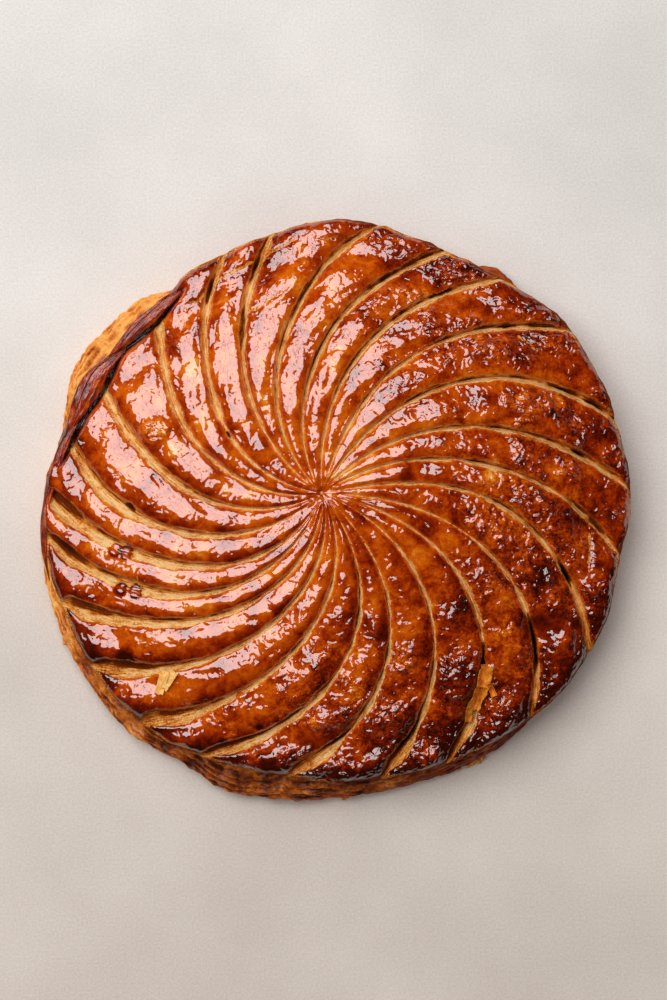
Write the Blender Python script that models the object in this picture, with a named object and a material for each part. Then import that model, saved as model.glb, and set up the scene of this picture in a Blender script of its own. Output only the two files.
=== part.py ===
"""Galette des rois: a round puff pastry cake about 28 cm across, its lid scored in a swirl.

The galette is one closed body that stands on z = 0, its flat baked underside. It is drawn as a disc
of rings around the middle of the swirl. From the middle outwards the rings are the domed lid, the
lid's lip, the flaky side, the lower sheet that sticks out under the lid, and the foot. Every column
of that disc turns with the knife scores, so that each score runs along edges of the mesh.
"""

import bmesh
import bpy
import numpy as np

MM = 0.001

# Heights above the foot
TOP_Z = 42.0 * MM  # crown of the dome, in the middle of the swirl
EDGE_Z = 25.0 * MM  # the lid where it reaches its edge
DOME_POWER = 2.4  # how long the dome stays flat before it falls to the edge

# Plan of the lid and of the lower sheet: bearing in degrees from +X, reach in mm from the
# swirl's middle
LID_EDGE = (
    (0, 147), (12, 144.5), (24, 143), (36, 141), (46, 135.5), (58, 130.5), (70, 129), (85, 131),
    (98, 126.5), (110, 123.5), (120, 122.8), (127, 121), (136, 118.5), (145, 120.5), (156, 126),
    (166, 127), (180, 132.5), (205, 135), (230, 139), (262, 136), (290, 140.5), (318, 147.5),
    (336, 148), (346, 145.5),
)  # fmt: skip
FOOT_EDGE = (
    (0, 144), (30, 140.5), (45, 137), (50, 139.5), (55, 139), (60, 130.5), (90, 127), (112, 120.5),
    (120, 121.5), (126, 123), (132, 128.5), (140, 131), (154, 134.8), (166, 130), (178, 132.5),
    (190, 138), (205, 142.8), (222, 146.5), (234, 149), (242, 147), (252, 151.5), (262, 149.8),
    (288, 148), (300, 150.2), (312, 149.5), (330, 146), (345, 143),
)  # fmt: skip

# Knife scores: the bearing of each, in degrees, at the lid's edge, two thirds of the way out and
# one third of the way out
SCORES = (
    (0.5, 17.5, 33.5), (14, 35, 50.5), (32.5, 52.5, 66), (50, 68, 82.5), (63, 82, 101.5),
    (78, 99.5, 119), (101, 117, 132.5), (112, 132.5, 153), (131, 148.5, 168.5), (150, 167.5, 187.5),
    (165.5, 186, 205.5), (179, 199, 222.5), (188, 211, 233), (202.5, 221.5, 245),
    (216.5, 236.5, 259.5), (231.5, 252.5, 275), (245, 271.5, 292.5), (262.5, 287, 305.5),
    (281.5, 303.5, 322.5), (294.5, 319.5, 337.5), (312.5, 335, 350), (329, 351.5, 365),
    (348, 364, 379),
)  # fmt: skip
SLANT = 1.05  # radians that a score turns on its way out, by which it slants across the spokes
SCORE_DEPTH = 3.4 * MM
SHALLOWER_AT_EDGE = 0.35  # the share of its depth that a score loses at the lid's edge
DEEP_FROM = 0.5  # the cut shallows inwards from here, to nothing in the middle
SCORE_HALF_HUB = 0.35 * MM  # half the width of a score's floor: at the hub, half way out, at the edge
SCORE_HALF_MID = 1.5 * MM
SCORE_HALF_EDGE = 3.0 * MM
WIDE_SCORES_AT = 195.0  # the scores gape most on this bearing
WIDE_SCORES_SPREAD = 34.0
WIDE_SCORES_GAIN = 1.1
SHOULDER = 3.4 * MM  # how far a strip takes to round up out of its score
NARROW_SHOULDER = 0.3  # on narrow strips, this share of their width
PILLOW = 1.1 * MM  # how much higher the middle of a strip stands
STRIP_PUFF = 0.6 * MM  # how unevenly the strips have risen

# Rim
VALLEY_DEPTH = 1.6 * MM  # where the lid is sealed, just outside the filling
VALLEY_AT = 0.87
VALLEY_WIDTH = 0.045
EDGE_DROP = 4.0 * MM
EDGE_ROUND_FROM = 0.945
LIP_FROM, LIP_TO = 127.0, 178.0  # the lid has curled up into a lip between these bearings
LIP_FADE = 9.0
LIP_RISE = 2.2 * MM
CREASE_DEPTH = 7.0 * MM
CREASE_INSET = 7.4 * MM  # from the lid's edge
CREASE_WIDTH = 1.7 * MM

# Rings of the mesh. The lid's are shares of the way out; the side's are (how far from the lid's edge
# to the foot's edge, set-back in mm, height in mm), from the lip down to the foot.
LID_RINGS = (0.05, 0.12, 0.21, 0.32, 0.44, 0.56, 0.68, 0.78, 0.86, 0.915, 0.94, 0.963, 0.985, 1.0)
SIDE_RINGS = (
    (0.00, 1.6, 19.2), (0.00, 3.4, 17.8), (0.35, 1.6, 16.2), (0.45, 3.2, 14.2), (0.85, 1.2, 12.0),
    (0.90, 2.2, 9.6), (1.00, 0.0, 6.6), (1.00, 1.6, 4.4), (1.00, 0.6, 2.4), (1.00, 3.4, 0.0),
)  # fmt: skip
STRIP_COLUMNS = (0.0, 0.075, 0.165, 0.33, 0.5, 0.67, 0.835, 0.925)  # shares of a strip's width


def smoothstep(low, high, x):
    """0 up to low, 1 from high on, and an even curve between them."""
    t = np.clip((x - low) / (high - low), 0, 1)
    return t * t * (3 - 2 * t)


def bell(x, middle, width):
    return np.exp(-(((x - middle) / width) ** 2))


def bearing_gap(bearing, other):
    """The shorter way round between two bearings, in degrees."""
    return np.abs((bearing - other + 180) % 360 - 180)


def around(stops, bearing):
    """A smooth closed curve through (bearing, value) stops, read at any bearing."""
    at, value = np.array(stops, float).T
    at = np.concatenate([at[-2:] - 360, at, at[:2] + 360])
    value = np.concatenate([value[-2:], value, value[:2]])
    slope = np.gradient(value, at)
    bearing = bearing % 360
    i = np.clip(np.searchsorted(at, bearing, "right") - 1, 0, len(at) - 2)
    span = at[i + 1] - at[i]
    t = (bearing - at[i]) / span
    return (
        value[i] * (1 + 2 * t) * (1 - t) ** 2
        + slope[i] * span * t * (1 - t) ** 2
        + value[i + 1] * t * t * (3 - 2 * t)
        + slope[i + 1] * span * t * t * (t - 1)
    )


def swirl_bearing(column, out):
    """The bearing of a column at a share of the way out. Whole columns are the knife scores."""
    stops = np.array(SCORES + (np.add(SCORES[0], 360),)).T
    count = np.arange(len(SCORES) + 1)
    edge, two_thirds, third = (np.interp(column % len(SCORES), count, row) for row in stops)
    # the parabola through the three bearings
    return (
        edge * (3 * out - 1) * (3 * out - 2) / 2
        - two_thirds * (3 * out - 1) * (3 * out - 3)
        + third * (3 * out - 2) * (3 * out - 3) / 2
    )


def score_half_width(out, bearing):
    half = (
        SCORE_HALF_HUB
        + (SCORE_HALF_MID - SCORE_HALF_HUB) * smoothstep(0.0, 0.55, out)
        + (SCORE_HALF_EDGE - SCORE_HALF_MID) * smoothstep(0.78, 1.0, out)
    )
    gape = bell(bearing_gap(bearing, WIDE_SCORES_AT), 0, WIDE_SCORES_SPREAD)
    return half * (1 + WIDE_SCORES_GAIN * gape * bell(out, 0.7, 0.25))


def strip_relief(column, out, reach, bearing):
    """Height of the scored lid over its smooth dome: pillowed strips between sunken scores."""
    strip = np.floor(column)
    across = column - strip
    left, right = swirl_bearing(strip, out), swirl_bearing(strip + 1 - 1e-9, out)
    width = np.radians((right - left) % 360) * reach / np.sqrt(1 + (SLANT * out) ** 2)
    from_score = np.minimum(across, 1 - across) * width
    half = score_half_width(out, bearing)
    shoulder = np.minimum(SHOULDER, NARROW_SHOULDER * width + MM / 1000)
    rise = np.clip((from_score - half) / shoulder, 0, 1)
    depth = SCORE_DEPTH * smoothstep(0.0, DEEP_FROM, out)
    depth = depth * (1 - SHALLOWER_AT_EDGE * smoothstep(EDGE_ROUND_FROM, 1.0, out))
    puff = np.random.default_rng(23).uniform(-1, 1, len(SCORES)) * STRIP_PUFF
    crown = PILLOW * (1 - (2 * across - 1) ** 2) + puff[strip.astype(int) % len(puff)]
    return -depth * (1 - rise) ** 2 + crown * rise * smoothstep(0.1, 0.5, out)


def lid_height(column, out, reach, bearing):
    dome = EDGE_Z + (TOP_Z - EDGE_Z) * (1 - out**DOME_POWER)
    valley = VALLEY_DEPTH * bell(out, VALLEY_AT, VALLEY_WIDTH)
    drop = EDGE_DROP * np.clip((out - EDGE_ROUND_FROM) / (1 - EDGE_ROUND_FROM), 0, 1) ** 2
    inset = reach * (1 / out - 1)
    lip = smoothstep(LIP_FROM - LIP_FADE, LIP_FROM, bearing) * (
        1 - smoothstep(LIP_TO, LIP_TO + LIP_FADE, bearing)
    )
    curl = LIP_RISE * bell(inset, CREASE_INSET / 2, CREASE_INSET / 3)
    crease = CREASE_DEPTH * bell(inset, CREASE_INSET, CREASE_WIDTH)
    relief = strip_relief(column, out, reach, bearing)
    return dome - valley - drop + relief + lip * (curl - crease)


def lid_points(column, out):
    bearing = swirl_bearing(column, out) % 360
    reach = around(LID_EDGE, bearing) * MM * out
    angle = np.radians(bearing)
    return reach * np.cos(angle), reach * np.sin(angle), lid_height(column, out, reach, bearing)


def side_points(column, ring):
    towards_foot, set_back, height = np.array(SIDE_RINGS)[ring].T
    bearing = swirl_bearing(column, 1.0)
    lid, foot = around(LID_EDGE, bearing), around(FOOT_EDGE, bearing)
    reach = (lid + (foot - lid) * towards_foot - set_back) * MM
    angle = np.radians(bearing)
    return reach * np.cos(angle), reach * np.sin(angle), height * MM


def disc_of_rings():
    """A flat disc, spun in even steps. Ring 0 is the middle, and each ring lies 1 further out."""
    bm = bmesh.new()
    rings = len(LID_RINGS) + len(SIDE_RINGS)
    spoke = [bm.verts.new((ring, 0, 0)) for ring in range(rings + 1)]
    edges = [bm.edges.new(pair) for pair in zip(spoke, spoke[1:])]
    bmesh.ops.spin(
        bm,
        geom=spoke + edges,
        axis=(0, 0, 1),
        cent=(0, 0, 0),
        angle=2 * np.pi,
        steps=len(SCORES) * len(STRIP_COLUMNS),
        use_merge=True,
    )
    bmesh.ops.remove_doubles(bm, verts=bm.verts, dist=0.0001)
    return bm


def shape_disc(bm):
    """Moves every point of the flat disc to its place on the galette."""
    flat = np.array([vert.co for vert in bm.verts])
    ring = np.rint(np.hypot(flat[:, 0], flat[:, 1])).astype(int)
    columns = len(SCORES) * len(STRIP_COLUMNS)
    step = np.rint(np.arctan2(flat[:, 1], flat[:, 0]) / (2 * np.pi) * columns).astype(int) % columns
    column = step // len(STRIP_COLUMNS) + np.array(STRIP_COLUMNS)[step % len(STRIP_COLUMNS)]
    place = np.zeros_like(flat)
    place[ring == 0] = (0, 0, TOP_Z)
    lid = (ring > 0) & (ring <= len(LID_RINGS))
    place[lid] = np.transpose(lid_points(column[lid], np.array(LID_RINGS)[ring[lid] - 1]))
    side = ring > len(LID_RINGS)
    place[side] = np.transpose(side_points(column[side], ring[side] - len(LID_RINGS) - 1))
    place[:, :2] -= (place[:, :2].min(axis=0) + place[:, :2].max(axis=0)) / 2
    for vert, co in zip(bm.verts, place):
        vert.co = co


def close_foot(bm):
    rim = [edge for edge in bm.edges if edge.is_boundary]
    bmesh.ops.contextual_create(bm, geom=rim)
    bmesh.ops.recalc_face_normals(bm, faces=bm.faces)


def baked_crust():
    material = bpy.data.materials.new("baked_crust")
    material.use_nodes = True
    shader = material.node_tree.nodes["Principled BSDF"]
    shader.inputs["Base Color"].default_value = (0.42, 0.13, 0.025, 1)
    shader.inputs["Roughness"].default_value = 0.25
    shader.inputs["Metallic"].default_value = 0
    return material


def make_galette():
    bm = disc_of_rings()
    shape_disc(bm)
    close_foot(bm)
    mesh = bpy.data.meshes.new("galette")
    bm.to_mesh(mesh)
    bm.free()
    mesh.shade_smooth()
    mesh.set_sharp_from_angle(angle=np.radians(50))
    mesh.materials.append(baked_crust())
    galette = bpy.data.objects.new("galette", mesh)
    bpy.context.scene.collection.objects.link(galette)


for leftover in list(bpy.data.objects):
    bpy.data.objects.remove(leftover)
make_galette()
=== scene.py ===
# %% [markdown]
# # A galette des rois, baked and glazed
#
# The frame holds one plain solid, the cake's body. This script lays the baked skin over it: a scored
# and glazed lid, the curls along part of its rim, a flaky side, and the few loose flakes and crumbs.
# Each step says what the thing is on a real galette, how it could be made, and why it is made this
# way here.

import bmesh
import bpy
import numpy as np
from mathutils import Matrix, Vector, noise
from mathutils.bvhtree import BVHTree


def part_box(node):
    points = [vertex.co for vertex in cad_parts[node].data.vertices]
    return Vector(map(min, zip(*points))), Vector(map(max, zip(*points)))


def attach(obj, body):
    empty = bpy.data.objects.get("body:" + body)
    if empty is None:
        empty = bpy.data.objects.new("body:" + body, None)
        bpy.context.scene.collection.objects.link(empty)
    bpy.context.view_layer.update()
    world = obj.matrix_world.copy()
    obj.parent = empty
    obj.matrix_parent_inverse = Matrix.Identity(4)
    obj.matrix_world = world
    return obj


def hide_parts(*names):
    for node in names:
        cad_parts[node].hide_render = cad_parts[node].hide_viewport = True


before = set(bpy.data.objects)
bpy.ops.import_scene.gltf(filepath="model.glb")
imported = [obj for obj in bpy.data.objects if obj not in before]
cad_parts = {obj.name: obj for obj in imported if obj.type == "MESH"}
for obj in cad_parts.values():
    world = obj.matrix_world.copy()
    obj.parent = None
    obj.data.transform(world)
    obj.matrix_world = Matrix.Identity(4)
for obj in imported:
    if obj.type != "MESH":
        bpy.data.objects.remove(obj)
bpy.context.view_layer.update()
MM = 0.001
low, high = np.array(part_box("galette")) / MM
print("the galette measures", np.round(high - low, 1), "mm")

# %% [markdown]
# ## The swirl
#
# A baker marks a galette by turning it under the knife, so every score runs out from one middle and
# lags behind as it goes. Drawing each score as a free curve would take many points. Here a score
# has three bearings, at the edge, two thirds out and one third out, and a parabola joins them. A
# "column" counts the scores round the cake: 4.0 is on score 4 and 4.5 is midway to the next one, so
# one number says where a point lies between two cuts.

# %% Bearings of the scores
SCORES = (
    (0.5, 17.5, 33.5), (14, 35, 50.5), (32.5, 52.5, 66), (50, 68, 82.5), (63, 82, 101.5),
    (78, 99.5, 119), (101, 117, 132.5), (112, 132.5, 153), (131, 148.5, 168.5), (150, 167.5, 187.5),
    (165.5, 186, 205.5), (179, 199, 222.5), (188, 211, 233), (202.5, 221.5, 245),
    (216.5, 236.5, 259.5), (231.5, 252.5, 275), (245, 271.5, 292.5), (262.5, 287, 305.5),
    (281.5, 303.5, 322.5), (294.5, 319.5, 337.5), (312.5, 335, 350), (329, 351.5, 365),
    (348, 364, 379),
)  # fmt: skip
STRIPS = len(SCORES)


def swirl_bearing(column, out):
    """The bearing of a column, in degrees, at a share of the way out from the middle."""
    stops = np.array(SCORES + (np.add(SCORES[0], 360),)).T
    count = np.arange(STRIPS + 1)
    edge, two_thirds, third = (np.interp(column % STRIPS, count, row) for row in stops)
    return (
        edge * (3 * out - 1) * (3 * out - 2) / 2
        - two_thirds * (3 * out - 1) * (3 * out - 3)
        + third * (3 * out - 2) * (3 * out - 3) / 2
    )


print(STRIPS, "scores; the first turns", swirl_bearing(0.0, 0.0) - SCORES[0][0], "degrees")

# %% [markdown]
# ## The outline
#
# The lid and the sheet under it were cut by hand and shrank in the oven, so neither is a circle. A
# few reaches, measured from the swirl's middle, and a smooth closed curve through them give both.

# %% Edges of the lid and of the lower sheet
LID_EDGE = (
    (0, 147), (12, 144.5), (24, 143), (36, 141), (46, 135.5), (58, 130.5), (70, 129), (85, 131),
    (98, 126.5), (110, 123.5), (120, 122.8), (127, 121), (136, 118.5), (145, 120.5), (156, 126),
    (166, 127), (180, 132.5), (205, 135), (230, 139), (262, 136), (290, 140.5), (318, 147.5),
    (336, 148), (346, 145.5),
)  # fmt: skip
FOOT_EDGE = (
    (0, 144), (30, 140.5), (45, 137), (49, 138.4), (53, 137.6), (57, 131), (90, 127), (112, 120.5),
    (120, 121.5), (126, 123), (132, 128.5), (140, 131), (154, 134.8), (166, 130), (178, 132.5),
    (190, 138), (205, 142.8), (222, 146.5), (234, 149), (242, 147), (252, 151.5), (262, 149.8),
    (288, 148), (300, 150.2), (312, 149.5), (330, 146), (345, 143),
)  # fmt: skip


def smoothstep(start, end, x):
    """0 up to start, 1 from end on, and an even curve between them."""
    t = np.clip((x - start) / (end - start), 0, 1)
    return t * t * (3 - 2 * t)


def bell(x, middle, width):
    return np.exp(-(((x - middle) / width) ** 2))


def bearing_gap(bearing, other):
    """The shorter way round from one bearing to another, in degrees, with its sign."""
    return (bearing - other + 180) % 360 - 180


def sector(bearing, start, end, fade):
    """1 between two bearings and 0 away from them."""
    middle, half = (start + end) / 2, (end - start) / 2
    return 1 - smoothstep(half, half + fade, np.abs(bearing_gap(bearing, middle)))


def curve(at, value, x):
    """A smooth curve through points, flat beyond its ends."""
    at, value = np.array(at, float), np.array(value, float)
    slope = np.gradient(value, at)
    x = np.clip(x, at[0], at[-1])
    i = np.clip(np.searchsorted(at, x, "right") - 1, 0, len(at) - 2)
    span = at[i + 1] - at[i]
    t = (x - at[i]) / span
    return (
        value[i] * (1 + 2 * t) * (1 - t) ** 2
        + slope[i] * span * t * (1 - t) ** 2
        + value[i + 1] * t * t * (3 - 2 * t)
        + slope[i + 1] * span * t * t * (t - 1)
    )


def around(stops, bearing):
    """A smooth closed curve through (bearing, value) stops, read at any bearing."""
    at, value = np.array(stops, float).T
    at = np.concatenate([at[-2:] - 360, at, at[:2] + 360])
    value = np.concatenate([value[-2:], value, value[:2]])
    return curve(at, value, bearing % 360)


def polar(bearing, reach):
    """X and Y of points that lie at these bearings and reaches."""
    return reach * np.cos(np.radians(bearing)), reach * np.sin(np.radians(bearing))


# The frame's origin is under the middle of the outline, not under the middle of the swirl.
round_trip = np.arange(0, 360, 0.5)
plan = np.concatenate(
    [polar(round_trip, around(LID_EDGE, round_trip)), polar(round_trip, around(FOOT_EDGE, round_trip))],
    axis=1,
)
SWIRL_X, SWIRL_Y = -(plan.min(axis=1) + plan.max(axis=1)) / 2
print("the swirl's middle lies at", round(SWIRL_X, 2), round(SWIRL_Y, 2), "mm")

# %% [markdown]
# ## A sheet to work on
#
# The lid and the side are both wrapped sheets: a flat grid whose columns go round the cake and whose
# rings go outwards and down. The grid is cheap to make, and each of its points knows its column and
# its ring. Because a column is a score or lies between two, each cut runs along edges of the mesh,
# and stays crisp with few faces. Once every point is in its place the sheet's two ends are sewn
# together, and any round opening is closed with one flat face.


# %% A flat grid, and how it becomes a closed piece
def flat_sheet(name, columns, rings):
    """A flat grid, and for each of its points the number of its column and of its ring."""
    bm = bmesh.new()
    bmesh.ops.create_grid(bm, x_segments=columns, y_segments=rings, size=0.5)
    mesh = bpy.data.meshes.new(name)
    bm.to_mesh(mesh)
    bm.free()
    flat = np.empty(len(mesh.vertices) * 3, np.float32)
    mesh.vertices.foreach_get("co", flat)
    x, y, _ = flat.reshape(-1, 3).T
    return mesh, np.rint((x + 0.5) * columns).astype(int), np.rint((y + 0.5) * rings).astype(int)


def sew(mesh, x, y, z, **fields):
    """Moves a sheet's points to their places, in mm from the swirl's middle, and closes it."""
    co = np.stack([(x + SWIRL_X) * MM, (y + SWIRL_Y) * MM, z * MM], axis=1)
    mesh.vertices.foreach_set("co", co.astype(np.float32).ravel())
    for name, values in fields.items():
        mesh.attributes.new(name, "FLOAT", "POINT").data.foreach_set("value", values.astype(np.float32))
    bm = bmesh.new()
    bm.from_mesh(mesh)
    bmesh.ops.remove_doubles(bm, verts=bm.verts, dist=0.001 * MM)
    bmesh.ops.holes_fill(bm, edges=[edge for edge in bm.edges if edge.is_boundary], sides=0)
    bmesh.ops.recalc_face_normals(bm, faces=bm.faces)
    bm.to_mesh(mesh)
    bm.free()
    mesh.shade_smooth()
    return mesh


def show(mesh):
    """Puts a finished mesh in the scene as a piece of the cake."""
    piece = bpy.data.objects.new(mesh.name, mesh)
    bpy.context.scene.collection.objects.link(piece)
    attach(piece, "root")
    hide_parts("galette")
    print(mesh.name, "has", sum(len(face.vertices) - 2 for face in mesh.polygons), "triangles")
    return piece


# %% [markdown]
# ## Noise with a size
#
# Dough puffs and wrinkles without a pattern, but each kind of wrinkle has its own size. `lumps`
# gives smooth noise whose humps are about so many mm apart, so every call below reads like a
# measurement.


# %% Noise in millimetres
def lumps(points, size, seed):
    """Smooth noise, about -1 to 1, at points given in mm."""
    shift = np.array((seed * 17.3, seed * 5.9, seed * 11.1))
    return np.array([noise.noise(place) for place in (points / size + shift).tolist()]) * 1.6


def folds(points, size, seed):
    """Noise with sharp ridges: 1 on a ridge, falling to 0 between them."""
    return 1 - np.abs(lumps(points, size, seed)).clip(0, 1)


# %% [markdown]
# ## Where the cuts are
#
# A cut is a hair wide at the hub, 2 mm half way out and almost 4 mm near the rim. On the left, where
# the lid rose most, it gapes to twice that. Near the edge, from the left round to the bottom, it opens
# like a leaf and closes again. `gap` is how far a point lies from the border of the nearest cut, in
# mm, and is below zero inside it. The relief and the colour are both made from that one number, so
# they can't drift apart.

# %% Width of the cuts
SLANT = 1.05  # radians that a score turns on its way out, by which it slants across the spokes


def strip_place(column, out, reach):
    """Strip number, share across it, its width, and how far to either side of the nearest cut."""
    strip = np.floor(column)
    across = column - strip
    turn = swirl_bearing(strip + 1 - 1e-9, out) - swirl_bearing(strip, out)
    width = np.radians(turn % 360) * reach / np.sqrt(1 + (SLANT * out) ** 2)
    return strip.astype(int) % STRIPS, across, width, np.where(across < 0.5, across, across - 1) * width


def gape_share(bearing, out):
    """How far the cuts on the left have torn open, 0 to 1."""
    return bell(bearing_gap(bearing, 200), 0, 30) * bell(out, 0.7, 0.22)


def shaded_side(bearing):
    """Which side of a cut the window can't reach: 1 towards higher columns, -1 towards lower ones."""
    return np.clip(2 * np.cos(np.radians(bearing - 60)), -1, 1)


def cut_half_width(out, bearing, width):
    half = 0.15 + 0.85 * smoothstep(0.05, 0.55, out) + 0.85 * smoothstep(0.55, 0.85, out)
    half = half + 1.5 * gape_share(bearing, out)
    half = half + 1.7 * sector(bearing, 182, 232, 10) * bell(out, 0.93, 0.07)
    half = half + 2.3 * sector(bearing, 238, 312, 12) * bell(out, 0.925, 0.05)
    half = half * (1 - 0.6 * smoothstep(0.95, 1.0, out)) * (1 - 0.28 * sector(bearing, 285, 352, 20))
    return np.minimum(half, 0.3 * width)


# %% [markdown]
# ## The lid's height
#
# The big shape comes first: a dome, a shallow valley where the lid was pressed shut outside the
# filling, and an edge that rounds over. From the upper left round to the left the edge has curled
# back, and a deep crease runs behind the curls. The curls are pieces of their own, made further down,
# so here the edge is only flat outside the crease.

# %% Dome, valley, edge and crease
TOP_Z, EDGE_Z, DOME_POWER = 42.0, 25.0, 2.4
VALLEY_DEPTH, VALLEY_AT, VALLEY_WIDTH = 1.6, 0.87, 0.045
EDGE_DROP, EDGE_ROUND_FROM = 2.6, 0.975
LIP_FROM, LIP_TO, LIP_FADE = 128.0, 170.0, 6.0
CREASE_DEPTH, CREASE_WIDTH, LIP_DROP = 6.0, 1.3, 2.2
# bearing, and how far in from the lid's edge the crease lies there, mm
CREASE_INSET = (
    (120, 4.5), (133, 6.2), (141, 5.4), (146, 5.6), (151, 9.4), (157, 11.2), (162, 9.0), (168, 6.4),
    (185, 5.0),
)  # fmt: skip


def lip_share(bearing):
    return sector(bearing, LIP_FROM, LIP_TO, LIP_FADE)


def big_shape(out, reach, bearing):
    """Height of the lid without its cuts, and how far in from the edge and from the crease."""
    dome = EDGE_Z + (TOP_Z - EDGE_Z) * (1 - out**DOME_POWER)
    valley = VALLEY_DEPTH * bell(out, VALLEY_AT, VALLEY_WIDTH)
    drop = EDGE_DROP * np.clip((out - EDGE_ROUND_FROM) / (1 - EDGE_ROUND_FROM), 0, 1) ** 2
    inset = reach * (1 / np.maximum(out, 0.01) - 1)
    behind = inset - curve(*zip(*CREASE_INSET), bearing)
    crease = CREASE_DEPTH * bell(behind, 0, CREASE_WIDTH) + LIP_DROP * smoothstep(0.3, -0.8, behind)
    return dome - valley - drop - lip_share(bearing) * crease, inset, behind


# %% [markdown]
# ## Strips and cuts
#
# Between two cuts the top leaf of dough has risen into a pillow. Its flanks are steep at the cut and
# round off towards the crown. The floor of a cut shows torn leaves that run along it, and where it
# gapes the crumb has puffed up like a loaf. Some cuts have torn open into dark holes near the rim,
# which are listed by score, place and size.

# %% Relief of the scored lid
CUT_DEPTH, DEEP_FROM = 3.6, 0.5
RAMP = 0.5  # how far a cut's floor rises towards the window, as a share of its depth
CREVICE = 1.6  # depth of the slot on the shaded side of a cut, mm
LOAF = 1.3  # how far the crumb has puffed up where a cut gapes, mm
SHOULDER, NARROW_SHOULDER = 2.8, 0.28
WALL_INSIDE = 1.0  # how far inside the border of a cut its wall starts to rise, mm
PILLOW, STRIP_PUFF = 3.0, 0.5
LEAN, LEAN_AT = 0.38, 225.0  # how far the pillows lean over, and where they lean most
# score, share of the way out, half its length and half its width in mm, depth in mm
HOLES = (
    (0, 0.85, 3, 0.8, 3), (1, 0.87, 6, 0.6, 2), (1, 0.95, 4, 0.7, 3), (2, 0.86, 4, 0.6, 3),
    (2, 0.93, 4, 0.6, 2), (3, 0.845, 5, 1.0, 4), (4, 0.84, 12, 0.9, 2), (5, 0.74, 12, 0.8, 1.6),
    (6, 0.7, 11, 0.8, 1.6), (6, 0.89, 6, 0.9, 2), (7, 0.9, 6, 0.8, 2), (7, 0.42, 2, 0.6, 3),
    (10, 0.68, 3, 0.9, 2.5), (11, 0.93, 8, 2.0, 1.7), (12, 0.92, 9, 2.2, 1.8), (13, 0.9, 9, 2.0, 1.7),
    (14, 0.87, 9, 1.6, 1.6), (15, 0.9, 6, 1.0, 1.5), (16, 0.88, 8, 0.7, 1.6), (17, 0.84, 9, 0.7, 2),
    (18, 0.87, 8, 0.8, 3), (19, 0.74, 6, 1.2, 4), (20, 0.83, 11, 1.0, 4), (21, 0.83, 5, 1.0, 4),
    (22, 0.9, 4, 0.8, 2),
)  # fmt: skip


def holes_at(strip, across, beside, out, ragged):
    """Depth of the torn holes, in mm."""
    score = np.where(across < 0.5, strip, (strip + 1) % STRIPS)
    depth = np.zeros_like(out)
    for number, at, half_length, half_width, deep in HOLES:
        along = (out - at) * 135 * 1.3 + 2 * ragged
        reach = np.clip(1 - (along / half_length / 1.3) ** 2, 0, 1)
        hole = deep * reach * bell(beside + ragged, 0, half_width * (0.4 + 0.6 * reach))
        depth = np.maximum(depth, np.where(score == number, hole, 0))
    return depth


def relief(column, out, reach, bearing, points):
    """Height of the scored lid over its big shape, and the numbers that its material needs."""
    strip, across, width, beside = strip_place(column, out, reach)
    ragged = 0.65 * lumps(points, 11, 1) + 0.35 * lumps(points, 3, 2)
    half = cut_half_width(out, bearing, width)
    gap = np.abs(beside) - half - ragged * smoothstep(0.1, 0.5, out)
    open_out = smoothstep(0.05, DEEP_FROM, out)
    side = np.clip(shaded_side(bearing) * beside / half, -1, 1)
    steep = 1 - 0.5 * np.clip(side, 0, 1)
    shoulder = np.minimum(SHOULDER, NARROW_SHOULDER * width + 0.001) * steep
    rise = np.clip((gap + WALL_INSIDE * steep * open_out) / shoulder, 0, 1)
    rise = 1 - (1 - rise) ** 3
    depth = CUT_DEPTH * open_out * (1 - 0.35 * smoothstep(0.945, 1.0, out))
    puff = np.random.default_rng(23).uniform(-1, 1, STRIPS)[strip] * STRIP_PUFF
    lean = np.exp(LEAN * np.cos(np.radians(bearing - LEAN_AT)))
    crown = PILLOW * (width / 27) ** 0.6 * (1 - (2 * across**lean - 1) ** 2)
    crown = crown * smoothstep(0.02, 0.09, out) + puff * smoothstep(0.1, 0.5, out)
    loaf = LOAF * gape_share(bearing, out) * np.clip(1 - (beside / half) ** 2, 0, 1)
    ramp = RAMP * depth * (1 - side) / 2
    crevice = CREVICE * bell(side, 0.7, 0.28) * smoothstep(-0.3, 0.4, lumps(points, 13, 14)) * open_out
    leaves = (0.22 * lumps(points, 3, 9) + 0.12 * lumps(points, 1.6, 10)) * open_out
    hole = holes_at(strip, across, beside - 0.45 * shaded_side(bearing) * half, out, ragged)
    floor = (loaf + ramp + leaves - crevice - hole) * (1 - rise)
    gap = gap + 0.4 * (1 - smoothstep(0.05, 0.2, out)) + 1.5 * (1 - smoothstep(0.025, 0.075, out))
    right = sector(bearing, -75, 80, 30)
    # Painted shade, carried to the material with the holes: darker in the slot and on each cut's side
    # away from the window.
    shaded = 0.4 * crevice * (1 - rise) + (0.4 + 0.35 * right) * smoothstep(-0.5, 0.8, side) * open_out
    return -depth * (1 - rise) + crown * rise + floor, gap, hole + shaded, beside


# %% [markdown]
# ## The skin
#
# The egg-washed skin is smooth and taut where it rose, on the left, and shrivels to fine wrinkles
# towards the right and the rim, where the pastry is thin and baked hardest. Wrinkles over 2 mm are
# real relief. Finer ones are left to the material.


# %% Wrinkles and blisters
def shrivel(points, bearing, out):
    """How wrinkled the skin is, 0 to 1."""
    right = sector(bearing, -75, 50, 45) * smoothstep(0.25, 0.75, out)
    patch = smoothstep(-0.1, 0.4, lumps(points, 16, 41))
    lower = 0.3 * sector(bearing, 285, 345, 20) * smoothstep(0.35, 0.7, out)
    outer = 0.25 * patch * smoothstep(0.6, 0.9, out)
    return np.clip(0.08 + (0.2 + 0.8 * patch) * right + lower + outer, 0, 1)


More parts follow.
